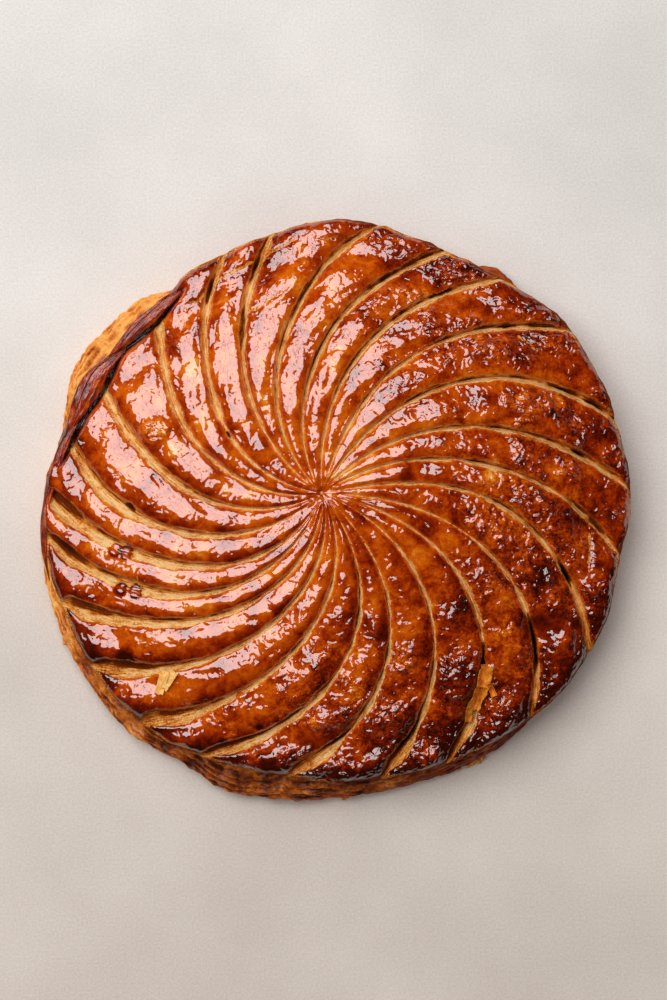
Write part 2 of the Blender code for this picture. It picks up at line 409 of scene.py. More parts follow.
def skin(column, out, reach, points, wrinkled, gap):
    """Humps and wrinkles of the skin, mm. The middle sizes are drawn out along the strip."""
    strip, across, width, _ = strip_place(column, out, reach)
    drawn_out = np.stack([across * width, reach / 1.9, strip * 31.0], axis=1)
    humps = (0.5 * lumps(points, 14, 3) + 0.34 * lumps(drawn_out, 6.5, 4)) * (1 + 0.9 * wrinkled)
    ripples = 0.26 * lumps(drawn_out, 3.6, 5)
    wrinkles = 1.3 * (folds(drawn_out, 5.0, 7) - 0.6) + 0.9 * (folds(points, 3.6, 8) - 0.6)
    pinched = 1.1 * lumps(points, 5, 71) + 0.7 * lumps(points, 2.6, 72)
    hub = 1 - smoothstep(0.03, 0.12, out)
    return smoothstep(0.2, 2.2, gap) * (humps + ripples + wrinkles * wrinkled**1.5) + pinched * hub


def browning_and_shade(points, out, bearing, across, gap, wrinkled, lip):
    """How dark the glaze is, 0 golden to 1 nearly black: its baked colour, plus painted light and shade.
    """
    patchy = 0.12 * lumps(points, 17, 31) + 0.13 * lumps(points, 8, 32)
    rim = 0.16 * smoothstep(0.75, 0.95, out) + 0.12 * smoothstep(0.945, 0.99, out)
    lower_rim = 0.2 * sector(bearing, 215, 330, 20) * smoothstep(0.91, 0.96, out)
    # painted shade on the flank of each strip that faces away from the window
    shaded_flank = 0.2 * smoothstep(0.5, 0.95, across) * sector(bearing, 170, 330, 20)
    # painted shade: the glaze is darker on the side of the cake away from the window
    away_side_shade = 0.05 * np.cos(np.radians(bearing + 40)) * smoothstep(0.1, 0.6, out)
    margin = -0.24 * (1 - smoothstep(0.0, 1.5, gap))
    hub = -0.06 * (1 - smoothstep(0.08, 0.3, out))
    # painted light and shade: crowns lighter and flanks darker on the side towards the window, under its
    # reflection
    crest_light_and_shade = (0.45 - bell(across, 0.45, 0.3)) * sector(bearing, 85, 235, 30) * smoothstep(0.15, 0.4, out)
    dark = 0.41 + patchy + rim + lower_rim + shaded_flank + away_side_shade + margin + hub
    dark = dark + 0.22 * crest_light_and_shade + 0.05 * wrinkled
    return dark * (1 - lip) + (0.82 + 0.1 * patchy) * lip


# %% [markdown]
# ## Marks of the bake
#
# Some marks are too particular for noise: thin seams where the top leaf split or folded, blisters that
# rose out of a cut, and patches that caught more heat or tore. Each is one line of numbers, in degrees
# and mm from the swirl's middle.

# %% Seams, blisters and spots
SEAMS = (
    ((95, 121.0), (103, 115.8), (109, 113.2), (119.5, 111.0), (122, 108.5), (127, 113.5)),
    ((99.4, 97.5), (106, 93.5), (112, 91.0)), ((202.2, 93.5), (205.4, 96.2)),
    ((33, 122.5), (39, 119.0)), ((84, 122.0), (92, 119.5)), ((344, 131.0), (352, 128.0)),
)  # fmt: skip
# bearing, reach, radius, height
BLISTERS = (
    (195.5, 100.9, 3.1, 1.3), (196.9, 96.0, 3.4, 1.1), (205.5, 104.8, 3.1, 1.3), (207.8, 99.4, 3.5, 1.1),
    (159.8, 83.9, 7.5, 0.9), (248, 103, 1.8, 0.7), (31, 75, 1.6, 0.6), (75, 88, 2.0, 0.7),
)  # fmt: skip
# bearing, reach, how wide, how much darker, how much more crinkled
SPOTS = (
    (159.8, 83.9, 6.0, -0.28, 0.8), (35.5, 114.8, 9.0, 0.18, 0.6), (248.5, 126.7, 2.0, 0.7, 0.2),
    (255, 114.4, 1.6, 0.7, 0.2), (267.3, 81.9, 1.1, 0.7, 0.0), (220.6, 122.4, 4.5, 0.45, 0.3),
    (18.6, 115.6, 1.2, 0.8, 0.0), (355.4, 117.8, 11.0, 0.17, 0.5), (339.1, 110.7, 10.0, 0.15, 0.5),
    (318.4, 82.9, 10.0, 0.14, 0.3), (11.5, 103.4, 9.0, 0.17, 0.5), (305.8, 110, 12.0, 0.24, 0.4),
    (296.8, 130, 9.0, 0.24, 0.3), (330, 124, 8.0, 0.1, -0.9), (284, 118, 11.0, 0.14, 0.2),
)  # fmt: skip
# bearing, reach, radius, height of two broad swellings that carry the long highlight at the lower right
SWELLINGS = ((328.4, 133, 7.5, 2.8), (327.5, 119, 7.0, -2.0))
# bearing, reach, radius and height of a fold that runs round in an arc, and how far left it reaches
ARC_FOLD, ARC_FOLD_LEFT = (100.2, 101.5, 5.4, 0.8), -19


def away_from(points, bearing, reach):
    """Distance in plan from a point given by its bearing and reach, mm."""
    x, y = polar(bearing, reach)
    return np.hypot(points[:, 0] - x, points[:, 1] - y)


def mark(points, bearing, reach, gap, dark, wrinkled):
    """Adds the marks: returns their height in mm, and the changed gap, dark and wrinkled."""
    height = np.zeros_like(gap)
    for stops in SEAMS:
        at, value = np.transpose(stops)
        ends = np.clip(np.minimum(bearing - at[0], at[-1] - bearing) / 1.5, -1, 1)
        off = np.abs(reach - curve(at, value, bearing) + 0.5 * lumps(points, 4, 61))
        off = np.where(ends > 0, off, 99)
        gap = np.minimum(gap, np.where(off < 4, off - 0.5 * np.clip(ends, 0, 1), 99))
        height = height - 0.5 * bell(off, 0, 0.8)
    for at, out_to, radius, tall in BLISTERS:
        off = away_from(points, at, out_to) + 0.4 * lumps(points, 2.6, 62)
        height = height + tall * np.sqrt(np.clip(1 - (off / radius) ** 2, 0, 1))
        gap = np.maximum(gap, np.where(off < radius, radius * 1.1 - off, -99))
        dark = dark + (0.25 * bell(off, radius * 0.95, 0.7) + 0.25 * (off < radius)) * (tall > 1)
    for at, out_to, wide, darker, crinkled in SPOTS:
        share = np.exp(-((away_from(points, at, out_to) / wide) ** 4))
        dark = dark + darker * share
        wrinkled = np.clip(wrinkled + crinkled * share, 0, 1)
    at, out_to, radius, tall = ARC_FOLD
    arc = tall * bell(away_from(points, at, out_to), radius, 0.8)
    height = height + arc * (points[:, 0] > ARC_FOLD_LEFT)
    for at, out_to, radius, tall in SWELLINGS:
        height = height + tall * bell(away_from(points, at, out_to), 0, radius)
    return height, gap, dark, wrinkled


# %% [markdown]
# ## Making the lid
#
# The lid is a closed shell: rings for its top, a few for the rolled edge, and one more that leads in
# to a flat face underneath, which the side covers. Columns crowd together at the cuts, where the
# form changes fastest.

# %% The lid's rings and columns
PER_STRIP = 28
CROWDING = 0.6
TOP_RINGS = 146
# set-back from the lid's edge and height, in mm, from the edge round to the lid's under side
UNDER_LIP = ((0.5, 20.3), (1.5, 19.4), (2.8, 18.7), (4.4, 18.3), (7.0, 18.0))
LEAST_STEP = 0.4  # how far each of those rings lies below the one before, at least, mm


def make_lid():
    mesh, step, ring = flat_sheet("lid_crust", STRIPS * PER_STRIP, TOP_RINGS + len(UNDER_LIP))
    part = (step % PER_STRIP) / PER_STRIP
    column = step // PER_STRIP + part - CROWDING * np.sin(2 * np.pi * part) / (2 * np.pi)
    out = np.minimum(ring / TOP_RINGS, 1.0)
    bearing = swirl_bearing(column, out) % 360
    reach = np.maximum(around(LID_EDGE, bearing) * out, 0.001)
    height, inset, behind = big_shape(out, reach, bearing)
    x, y = polar(bearing, reach)
    points = np.stack([x, y, height], axis=1)
    raised, gap, hole, beside = relief(column, out, reach, bearing, points)
    lip = lip_share(bearing) * smoothstep(0.3, -1.2, behind)
    gap = gap + lip * 20
    wrinkled = shrivel(points, bearing, out)
    dark = browning_and_shade(points, out, bearing, column % 1, gap, wrinkled, lip)
    marks, gap, dark, wrinkled = mark(points, bearing, reach, gap, dark, wrinkled)
    folded = skin(column, out, reach, points, wrinkled, gap)
    height = height + (raised + marks) * (1 - lip) + folded * (1 - 0.6 * lip)
    frayed = (0.6 * lumps(points, 14, 11) + 0.35 * lumps(points, 4, 12)) * smoothstep(0.9, 1.0, out)
    under = np.clip(ring - TOP_RINGS, 0, len(UNDER_LIP))
    set_back, under_z = np.array(((0, 0),) + UNDER_LIP)[under].T
    x, y = polar(bearing, reach + frayed - set_back)
    height = np.where(ring == 0, TOP_Z - 0.5, height)
    z = np.where(under > 0, np.minimum(under_z, height - LEAST_STEP * under), height)
    z = np.where(under == len(UNDER_LIP), UNDER_LIP[-1][1], z)
    # Painted shade in the crease behind the curls.
    dark = dark + 0.5 * lip_share(bearing) * bell(behind, -0.2, 1.1)
    hole = hole * (1 - lip)
    edge = np.where(under > 0, 1.0, smoothstep(1.2, 0.3, inset))
    fields = {"gap": gap, "hole": hole, "beside": beside, "along": reach, "dark": dark}
    return sew(mesh, x, y, z, wrinkled=wrinkled, edge=edge, **fields)


lid = show(make_lid())

# %% [markdown]
# ## The curled edge
#
# Where the top leaf shrank most its rim has let go and rolled up, in long curls that taper at both
# ends. Each starts at the very edge and tucks in behind the next one. A curl is a leaf rolled once
# round, so its section is a spiral: round the curl the radius grows, and at the seam it steps back.
# That step is the dark line that runs along a rolled leaf.

# %% Curls along the rim
# for each curl: bearing, reach, width and height in mm, from one pointed end to the other
CURLS = (
    ((124, 117.0, 0.5, 0.5), (127, 117.2, 4.2, 2.6), (132, 116.6, 6.2, 4.0), (138, 117.4, 6.4, 4.2),
     (143, 118.4, 4.6, 3.4), (147.5, 120.4, 0.5, 0.8)),
    ((143.5, 115.6, 0.5, 0.5), (147, 117.4, 4.6, 3.0), (151, 119.6, 8.6, 4.8), (156, 120.8, 10.6, 5.2),
     (160, 121.6, 8.6, 4.4), (164, 123.2, 5.0, 3.0), (168, 124.6, 0.5, 0.8)),
    ((163, 120.6, 0.5, 0.5), (168, 124.0, 4.4, 2.6), (175, 127.2, 5.0, 3.0), (182, 130.8, 4.0, 2.4),
     (190, 134.2, 3.0, 1.8), (198, 136.0, 0.5, 0.5)),
)  # fmt: skip
SECTION, SEAM_AT, SEAM_STEP = 44, 1.1, 0.2
CURL_Z = 24.6
MM_PER_DEGREE, RING_LENGTH = 2.1, 0.7  # how far apart two bearings lie at the rim, and two rings, mm


def make_curl(number, stops):
    at = [stop[0] for stop in stops]
    length = int((at[-1] - at[0]) * MM_PER_DEGREE / RING_LENGTH)
    mesh, place, ring = flat_sheet(f"curl_{number}", SECTION + 1, length)
    share = np.minimum(place, SECTION) / SECTION * (place <= SECTION)
    bearing = at[0] + (at[-1] - at[0]) * ring / length
    reach, width, height = (curve(at, row, bearing) for row in np.transpose(stops)[1:])
    along = ring / length
    turn = 2 * np.pi * share + SEAM_AT + 0.9 * (along - 0.5)
    spiral = 1 - SEAM_STEP * (1 - share)
    over = np.stack([bearing * 0.16, np.cos(turn) * 1.6, np.sin(turn) * 1.6 + number * 9], axis=1)
    spiral = spiral * (1 + 0.16 * lumps(over, 1.0, 51) + 0.07 * lumps(over, 0.45, 52))
    body = np.where((ring == 0) | (ring == length), 0, spiral)
    x, y = polar(bearing, reach + width / 2 * np.cos(turn) * body)
    z = CURL_Z + height / 2 * (0.5 + np.sin(turn) * body)
    outer = 0.5 + 0.5 * np.cos(turn)
    return sew(mesh, x, y, z, outer=outer, share=share, far=bearing * MM_PER_DEGREE)


curls = [show(make_curl(number, stops)) for number, stops in enumerate(CURLS)]

# %% [markdown]
# ## The flaky side
#
# Puff pastry is a stack of leaves. At the side they part as they rise, so the edge shows as many thin
# bands, wavy and broken. A stack of separate leaves would hide each other's faces; one wall that steps
# out and down from leaf to leaf looks the same and stays closed. Its profile runs from the seam under
# the lid down over the lower sheet's shoulder to the foot. A sine, added to the way out and taken from
# the way down, turns the slope into treads and upright edges.

# %% Profile of the side
# share of the way from the lid's edge to the foot's edge, set-back in mm, height in mm
SIDE_PROFILE = (
    (0.0, 8.0, 17.2), (0.0, 4.4, 17.2), (0.1, 3.0, 16.4), (0.4, 2.6, 14.8), (0.7, 2.0, 12.6),
    (0.92, 1.6, 10.2), (1.0, 0.6, 7.6), (1.0, 0.2, 5.2), (1.0, 1.0, 2.4), (1.0, 2.6, 0.6),
    (1.0, 4.4, 0.0),
)  # fmt: skip
SIDE_COLUMNS, SIDE_RINGS = 900, 100
LEAVES = 11  # how many leaves show from top to foot
STAGGER = 0.85  # 0 for a smooth wall, 1 for level treads and upright edges


def make_side():
    mesh, step, ring = flat_sheet("side_layers", SIDE_COLUMNS, SIDE_RINGS)
    bearing = (step % SIDE_COLUMNS) * 360 / SIDE_COLUMNS
    down = ring / SIDE_RINGS
    free = smoothstep(0.0, 0.1, down) * (1 - smoothstep(0.93, 1.0, down))
    wall = np.stack([*polar(bearing, 135.0), 12 * down], axis=1)
    turn = LEAVES * down + 1.0 * lumps(wall, 30, 21) + 0.4 * lumps(wall, 9, 22)
    number = np.floor(turn)
    share = turn - number  # 0 in the gap under the leaf above, 0.5 on the leaf's own edge
    stagger = STAGGER * np.sin(2 * np.pi * turn) / (2 * np.pi * LEAVES) * free
    away, back, drop = np.transpose(SIDE_PROFILE)
    stations = np.linspace(0, 1, len(SIDE_PROFILE))
    lid_reach, foot_reach = around(LID_EDGE, bearing), around(FOOT_EDGE, bearing)
    reach = lid_reach + (foot_reach - lid_reach) * np.interp(down + stagger, stations, away)
    reach = reach - np.interp(down + stagger, stations, back)
    z = np.interp(down - stagger, stations, drop)
    x, y = polar(bearing, reach)
    points = np.stack([x, y, z], axis=1)
    by_leaf = np.stack([x, y, number * 23.0], axis=1)
    parted = smoothstep(-0.5, 0.2, lumps(wall, 13, 23))
    leaf = smoothstep(0.05, 0.3, share) * (1 - smoothstep(0.72, 0.95, share))
    leaf = leaf * parted + 0.7 * (1 - parted)
    torn = 0.8 * lumps(by_leaf, 9, 24) + 0.5 * lumps(by_leaf, 3, 25)
    push = free * ((0.1 + torn) * leaf + 0.5 * lumps(points, 16, 26) - 0.5 * (1 - leaf))
    puffs = 0.8 * lumps(points, 7, 27) + 0.5 * lumps(points, 3, 28) + 0.5 * torn * leaf
    x, y = polar(bearing, reach + push)
    z = z + free * (puffs - 0.4 * (1 - leaf)) * smoothstep(0, 3, z)
    z = np.where(ring == SIDE_RINGS, 0.0, np.where(ring == 0, SIDE_PROFILE[0][2], np.maximum(z, 0.05)))
    baked = sector(bearing, -60, 110, 20)
    # Painted light: the side towards the window is paler, the side away from it darker.
    paler = 0.14 * sector(bearing, 130, 208, 10) - 0.1 * sector(bearing, 246, 330, 20)
    return sew(mesh, x, y, z, leaf=leaf, down=down, baked=baked, paler=paler)


side = show(make_side())

# %% [markdown]
# ## Shader maths
#
# A node graph is hard to read back. This class wraps one socket, so that a material is written as
# sums: `gap * 0.5 + grain`. Each operator adds the Math node that it names.


# %% A socket that can be added and multiplied
class Field:
    """One output of a node tree, with arithmetic."""

    def __init__(self, tree, socket):
        self.tree, self.socket = tree, socket

    def math(self, operation, *others):
        return node(self.tree, "ShaderNodeMath", {"operation": operation}, (self, *others))

    def __add__(self, other):
        return self.math("ADD", other)

    def __sub__(self, other):
        return self.math("SUBTRACT", other)

    def __mul__(self, other):
        return self.math("MULTIPLY", other)

    def __rsub__(self, other):
        return node(self.tree, "ShaderNodeMath", {"operation": "SUBTRACT"}, (other, self))

    __radd__, __rmul__ = __add__, __mul__

    def between(self, start, end):
        """0 up to start, 1 from end on."""
        settings = {"interpolation_type": "SMOOTHSTEP"}
        sockets = {"Value": self, "From Min": start, "From Max": end}
        return node(self.tree, "ShaderNodeMapRange", settings, sockets)


def node(tree, kind, settings, sockets, output=0):
    """Adds a node: its settings first, then the values or links of its sockets."""
    made = tree.nodes.new(kind)
    for name, value in settings.items():
        if name == "stops":
            set_ramp(made.color_ramp, value)
        else:
            setattr(made, name, value)
    pairs = sockets.items() if isinstance(sockets, dict) else enumerate(sockets)
    for key, value in pairs:
        if isinstance(value, Field):
            tree.links.new(value.socket, made.inputs[key])
        else:
            made.inputs[key].default_value = value
    return Field(tree, made.outputs[output])


def set_ramp(ramp, stops):
    """Fills a colour ramp from (position, colour) stops."""
    for _ in range(len(stops) - 2):
        ramp.elements.new(0.5)
    for element, (position, colour) in zip(ramp.elements, stops):
        element.position = position
        element.color = (*colour, 1)


def attribute(tree, name):
    return node(tree, "ShaderNodeAttribute", {"attribute_name": name}, (), output="Fac")


def noise_at(tree, place, detail=3.0, roughness=0.6, warp=0.0):
    """Noise read at a place, with humps about 1 apart."""
    sockets = {"Vector": place, "Scale": 1.0, "Detail": detail, "Roughness": roughness}
    return node(tree, "ShaderNodeTexNoise", {}, {**sockets, "Distortion": warp}, output="Fac")


def grain(tree, size, stretch=(1, 1, 1), detail=3.0, roughness=0.55, warp=0.0):
    """Noise with humps about so many mm apart, stretched along an axis where wanted."""
    place = node(tree, "ShaderNodeTexCoord", {}, (), output="Object")
    scale = tuple(1 / (size * MM * axis) for axis in stretch)
    place = node(tree, "ShaderNodeMapping", {}, {"Vector": place, "Scale": scale})
    return noise_at(tree, place, detail, roughness, warp)


def ramp(tree, value, stops):
    return node(tree, "ShaderNodeValToRGB", {"stops": stops}, (value,))


def mix(tree, share, first, second):
    """Blends two colours. The colour sockets of a Mix node are numbers 6 and 7."""
    settings = {"data_type": "RGBA", "clamp_factor": True}
    return node(tree, "ShaderNodeMix", settings, {0: share, 6: first, 7: second}, output=2)


def bump(tree, height):
    """Bump from a height in mm."""
    return node(tree, "ShaderNodeBump", {}, {"Height": height, "Distance": MM, "Strength": 1.0}, "Normal")


def new_material(name):
    material = bpy.data.materials.new(name)
    material.use_nodes = True
    return material, material.node_tree, material.node_tree.nodes["Principled BSDF"]


def finish_shader(tree, shader, constants, links):
    for name, value in constants.items():
        shader.inputs[name].default_value = value
    for name, field in links.items():
        tree.links.new(field.socket, shader.inputs[name])


# %% [markdown]
# ## Egg wash and crumb
#
# The lid has two finishes with a sharp border. On the strips the egg wash has baked to a clear,
# glossy, amber skin: orange-brown where it is thin, mahogany where it pooled or where the oven caught
# it. In the cuts the dough was bare, so it is matt and golden, streaked along the cut. `gap` tells the
# two apart, and a little fine noise tears the border. The streaks are noise drawn out along the cut:
# its place is made from the distance beside the cut and the distance along it.

# %% Finish of the lid
BROWNS = (
    (0.0, (0.92, 0.42, 0.08)), (0.1, (0.82, 0.24, 0.014)), (0.25, (0.70, 0.125, 0.003)),
    (0.42, (0.54, 0.066, 0.002)), (0.6, (0.32, 0.023, 0.001)), (0.8, (0.14, 0.008, 0.001)),
    (1.1, (0.04, 0.004, 0.001)),
)  # fmt: skip
CRUMBS = (
    (0.26, (0.20, 0.03, 0.002)), (0.38, (0.58, 0.15, 0.010)), (0.48, (0.86, 0.36, 0.07)),
    (0.62, (1.0, 0.66, 0.29)),
)  # fmt: skip
SHADE = (0.015, 0.005, 0.002, 1)


def glazed_lid():
    material, tree, glazed = new_material("glazed_lid")
    names = ("gap", "hole", "beside", "along", "dark", "wrinkled", "edge")
    gap, hole, beside, along, dark, wrinkled, edge = (attribute(tree, name) for name in names)
    torn_border = (grain(tree, 1.5) - 0.5) * 1.7 + (grain(tree, 5) - 0.5) * 1.4
    on_strip = (gap - 0.1 + torn_border - edge * 30).between(-0.1, 0.1)

    patches = (grain(tree, 8, detail=2, warp=0.8) - 0.5) * 0.8
    specks = (grain(tree, 2.6, warp=0.5) - 0.5) * 0.8 + (grain(tree, 1.0, detail=2) - 0.5) * 0.5
    veins = (grain(tree, 4.2, detail=2, warp=1.6) - 0.5).math("ABSOLUTE").between(0.0, 0.045)
    fine = specks + (1 - veins) * 0.18
    glaze = ramp(tree, dark + patches + fine * (0.4 + wrinkled * 0.9), BROWNS)
    crinkle = (grain(tree, 4.6, detail=1, warp=1.4) - 0.5).math("ABSOLUTE")
    ripple = grain(tree, 3.4, detail=0, warp=0.7) * (0.3 + wrinkled * 1.2) + crinkle * wrinkled * 0.6
    roughness = 0.04 + wrinkled * 0.03 + (grain(tree, 9) - 0.5) * 0.03
    links = {"Base Color": glaze, "Roughness": roughness, "Normal": bump(tree, ripple)}
    finish_shader(tree, glazed, {"IOR": 1.6, "Specular IOR Level": 1.0}, links)

    place = node(tree, "ShaderNodeCombineXYZ", {}, (beside * 1.9, along * 0.2, 0.0))
    streaks = noise_at(tree, place)
    layers = grain(tree, 1.0, stretch=(14, 14, 1), warp=0.4)
    streaks = streaks + (layers - streaks) * edge.between(0.3, 0.9)
    flecks = grain(tree, 0.9, detail=3, roughness=0.75)
    tone = streaks * 0.7 + (flecks - 0.5) * 0.7 + grain(tree, 6) * 0.4 - (dark - 0.36) * 0.3
    tone = tone - edge * 0.03 - 0.03
    # Painted shade: the crumb darkens in holes, slots and a cut's shaded side, and turns to SHADE in the
    # deepest holes.
    torn = hole + (flecks - 0.5) * 1.8
    crumb = ramp(tree, tone - torn.between(0.1, 1.2) * 0.27, CRUMBS)
    crumb = mix(tree, torn.between(1.3, 3.2), crumb, SHADE)
    bare = tree.nodes.new("ShaderNodeBsdfPrincipled")
    links = {"Base Color": crumb, "Normal": bump(tree, streaks * 0.5 + flecks * 0.7)}
    finish_shader(tree, bare, {"IOR": 1.4, "Specular IOR Level": 0.12, "Roughness": 0.7}, links)

    shaders = (on_strip, Field(tree, bare.outputs[0]), Field(tree, glazed.outputs[0]))
    both = node(tree, "ShaderNodeMixShader", {}, shaders)
    tree.links.new(both.socket, tree.nodes["Material Output"].inputs["Surface"])
    return material


lid.data.materials.append(glazed_lid())

# %% [markdown]
# The curls are the same glaze, baked nearly black on the side that stood up into the heat and deep
# red where the leaf is thin. Fine folds run along them.


# %% Finish of the curls
def baked_curl():
    material, tree, shader = new_material("baked_curl")
    outer, share, far = (attribute(tree, name) for name in ("outer", "share", "far"))
    place = node(tree, "ShaderNodeCombineXYZ", {}, (share * 11, far * 0.13, 0.0))
    folds_along = noise_at(tree, place, warp=0.4)
    tone = 0.56 + outer * 0.16 + (folds_along - 0.5) * 1.1 + (grain(tree, 5, detail=3) - 0.5) * 0.9
    links = {"Base Color": ramp(tree, tone, BROWNS), "Normal": bump(tree, folds_along * 0.9)}
    finish_shader(tree, shader, {"IOR": 1.5, "Specular IOR Level": 0.8, "Roughness": 0.17}, links)
    return material


curl_finish = baked_curl()
for curl in curls:
    curl.data.materials.append(curl_finish)


# %% [markdown]
# ## Bare pastry
#
# The side was never brushed, so it is matt: golden on the leaves' edges, with painted shade in the gaps
# between them, and darkest at the foot that touched the tray. Round the right it caught more heat, and
# some egg wash ran down it, so it is redder there. The side towards the window is painted paler, and the
# side away from it darker.

# %% Finish of the side
PASTRY = (
    (0.24, (0.06, 0.009, 0.001)), (0.42, (0.36, 0.06, 0.003)),
    (0.58, (0.74, 0.21, 0.015)), (0.74, (0.98, 0.46, 0.09)),
)  # fmt: skip


def flaky_side():
    material, tree, shader = new_material("flaky_side")
    names = ("leaf", "down", "baked", "paler")
    leaf, down, baked, paler = (attribute(tree, name) for name in names)
    patches = grain(tree, 7, detail=4, warp=0.5)
    place = node(tree, "ShaderNodeTexCoord", {}, (), output="Object")
    place = node(tree, "ShaderNodeVectorMath", {"operation": "SCALE"}, {"Vector": place, "Scale": 55.0})
    x_and_y = node(tree, "ShaderNodeVectorMath", {"operation": "MULTIPLY"}, (place, (1.0, 1.0, 0.0)))
    height = node(tree, "ShaderNodeCombineXYZ", {}, (0.0, 0.0, down * 26))
    place = node(tree, "ShaderNodeVectorMath", {"operation": "ADD"}, (x_and_y, height))
    threads = noise_at(tree, place, warp=0.6)
    mottle = (patches - 0.5) * 0.8 + (threads - 0.5) * 0.4 + (grain(tree, 1.1) - 0.5) * 0.35
    # painted shade in the gaps between leaves, and painted light: paler towards the window, darker away
    # from it
    tone = leaf * 0.2 + mottle - down.between(0.85, 1.0) * 0.3 + paler + 0.39
    colour = ramp(tree, tone, PASTRY)
    colour = mix(tree, baked * 0.75, colour, ramp(tree, 1.1 - tone * 0.9, BROWNS))
    links = {"Base Color": colour, "Normal": bump(tree, threads * 0.6 + patches * 0.8)}
    finish_shader(tree, shader, {"IOR": 1.45, "Specular IOR Level": 0.35, "Roughness": 0.35}, links)
    return material


side.data.materials.append(flaky_side())

# %% [markdown]
# ## Loose flakes and crumbs
#
# Cutting the lid lifted a few leaves. Four of them lie against each other along a cut at the lower
# right, and two pale slivers lie at the lower left. Each is a small grid, made
# ragged, bent, dropped on the lid from above and given its thickness. At the foot a few crumbs of the
# lower sheet stick out.

# %% Flakes
lid_bm = bmesh.new()
lid_bm.from_mesh(lid.data)
lid_tree = BVHTree.FromBMesh(lid_bm)
lid_bm.free()
# name, centre's x and y, length, width, heading in degrees, how far the sides and the ends bend up, seed
FLAKES = (
    ("flake_top", (76.8, -86.4), 10.5, 6.4, 78, 1.2, 1.8, 4),
    ("flake_long", (74.0, -95.6), 14.5, 5.8, 66, 2.2, 1.0, 5),
    ("flake_crumpled", (80.0, -92.6), 6.6, 2.6, 112, 2.4, 2.4, 6),
    ("flake_end", (69.6, -104.6), 7.6, 3.4, 84, 1.4, 0.8, 7),
    ("flake_pale_a", (-75.4, -89.4), 11.0, 4.4, 74, 0.7, 0.5, 9),
    ("flake_pale_b", (-72.0, -88.0), 9.6, 4.2, 56, 0.8, 0.7, 10),
)  # fmt: skip
FLAKE_THICK = 0.35
FLAKE_LIFT = 0.4  # how far the middle of a flake lies over the lid, mm
ABOVE_LID = 100.0


def lid_height(x, y):
    above = Vector((x + SWIRL_X, y + SWIRL_Y, ABOVE_LID)) * MM
    return lid_tree.ray_cast(above, Vector((0, 0, -1)))[0].z / MM


def make_flake(name, centre, length, width, heading, bend_sides, bend_ends, seed):
    bm = bmesh.new()
    bmesh.ops.create_grid(bm, x_segments=26, y_segments=12, size=1.0)
    turned = Matrix.Rotation(np.radians(heading), 2)
    base = lid_height(*centre)
    for vert in bm.verts:
        along, across, _ = vert.co
        frayed = 1 + 0.3 * noise.noise((along * 2.2, seed, 0)) + 0.14 * noise.noise((along * 7, seed, 5))
        cut = 1 + 0.22 * noise.noise((across * 2.0, seed, 9)) + 0.12 * noise.noise((across * 6, seed, 14))
        spot = turned @ Vector((along * cut * length / 2, across * frayed * width / 2))
        x, y = centre[0] + spot.x, centre[1] + spot.y
        under = lid_height(x, y)
        crumple = 0.5 * noise.noise((along * 2.5, across * 1.5, seed))
        crumple = crumple + 0.2 * noise.noise((along * 8, across * 2, seed))
        bend = bend_sides * across**2 + bend_ends * along**2 + abs(crumple)
        z = max((base + under) / 2, under) + FLAKE_LIFT + bend
        vert.co = Vector((x + SWIRL_X, y + SWIRL_Y, z)) * MM
    bmesh.ops.solidify(bm, geom=bm.faces[:], thickness=FLAKE_THICK * MM)
    bmesh.ops.recalc_face_normals(bm, faces=bm.faces)
    mesh = bpy.data.meshes.new(name)
    bm.to_mesh(mesh)
    bm.free()
    mesh.shade_smooth()
    return mesh


flakes = [show(make_flake(*row)) for row in FLAKES]

# %% Crumbs at the foot
# bearing, reach, height of its middle, radius, mm
CRUMB_SPOTS = (
    (299.2, 149.8, 3.4, 1.9), (300.3, 151.2, 2.6, 1.4), (301.4, 150.2, 4.4, 1.6),
    (298.2, 150.8, 2.2, 1.1), (302.6, 149.4, 3.0, 1.2), (296.5, 149.6, 4.0, 1.0),
    (209.6, 143.2, 4.6, 1.5), (210.3, 144.8, 4.2, 1.1), (274, 149.4, 1.6, 0.9),
)  # fmt: skip


def make_crumbs():
    bm = bmesh.new()
    for number, (bearing, reach, z, radius) in enumerate(CRUMB_SPOTS):
        made = bmesh.ops.create_icosphere(bm, subdivisions=3, radius=1.0)["verts"]
        x, y = polar(bearing, reach)
        for vert in made:
            rough = 1 + 0.5 * noise.noise(vert.co * 1.7 + Vector((number * 3.1, 0, 0)))
            rough = rough + 0.3 * noise.noise(vert.co * 4.5 + Vector((0, number * 5.3, 0)))
            spot = Vector((vert.co.x, vert.co.y * 0.8, vert.co.z * 0.6)) * rough * radius
            vert.co = (spot + Vector((x + SWIRL_X, y + SWIRL_Y, z))) * MM
    mesh = bpy.data.meshes.new("crumbs")
    bm.to_mesh(mesh)
    bm.free()
    mesh.shade_smooth()
    return mesh


crumbs = show(make_crumbs())

# %% Finish of the flakes and crumbs
LEAF_GOLD = (
    (0.3, (0.42, 0.09, 0.004)), (0.45, (0.78, 0.24, 0.012)), (0.6, (0.92, 0.42, 0.06)),
    (0.75, (1.0, 0.68, 0.27)),
)  # fmt: skip


def loose_leaf(name, paler):
    material, tree, shader = new_material(name)
    tone = grain(tree, 2.5, detail=4) * 0.6 + grain(tree, 0.7, detail=2) * 0.4 + paler
    links = {"Base Color": ramp(tree, tone, LEAF_GOLD), "Normal": bump(tree, grain(tree, 1.0) * 0.3)}
    finish_shader(tree, shader, {"IOR": 1.4, "Roughness": 0.5}, links)
    return material


gold, pale = loose_leaf("golden_flake", -0.05), loose_leaf("pale_flake", 0.17)
for flake in flakes:
    flake.data.materials.append(pale if "pale" in flake.name else gold)
crumbs.data.materials.append(gold)

# %% [markdown]
# ## Floor, light and camera
#
# The cake lies on a pale plastered board, which is only a stage. A tall window on the upper left
# lights it. Its reflection is what makes the glaze look wet, so it is two crisp panes and not one
# soft cloud. The camera looks straight down.

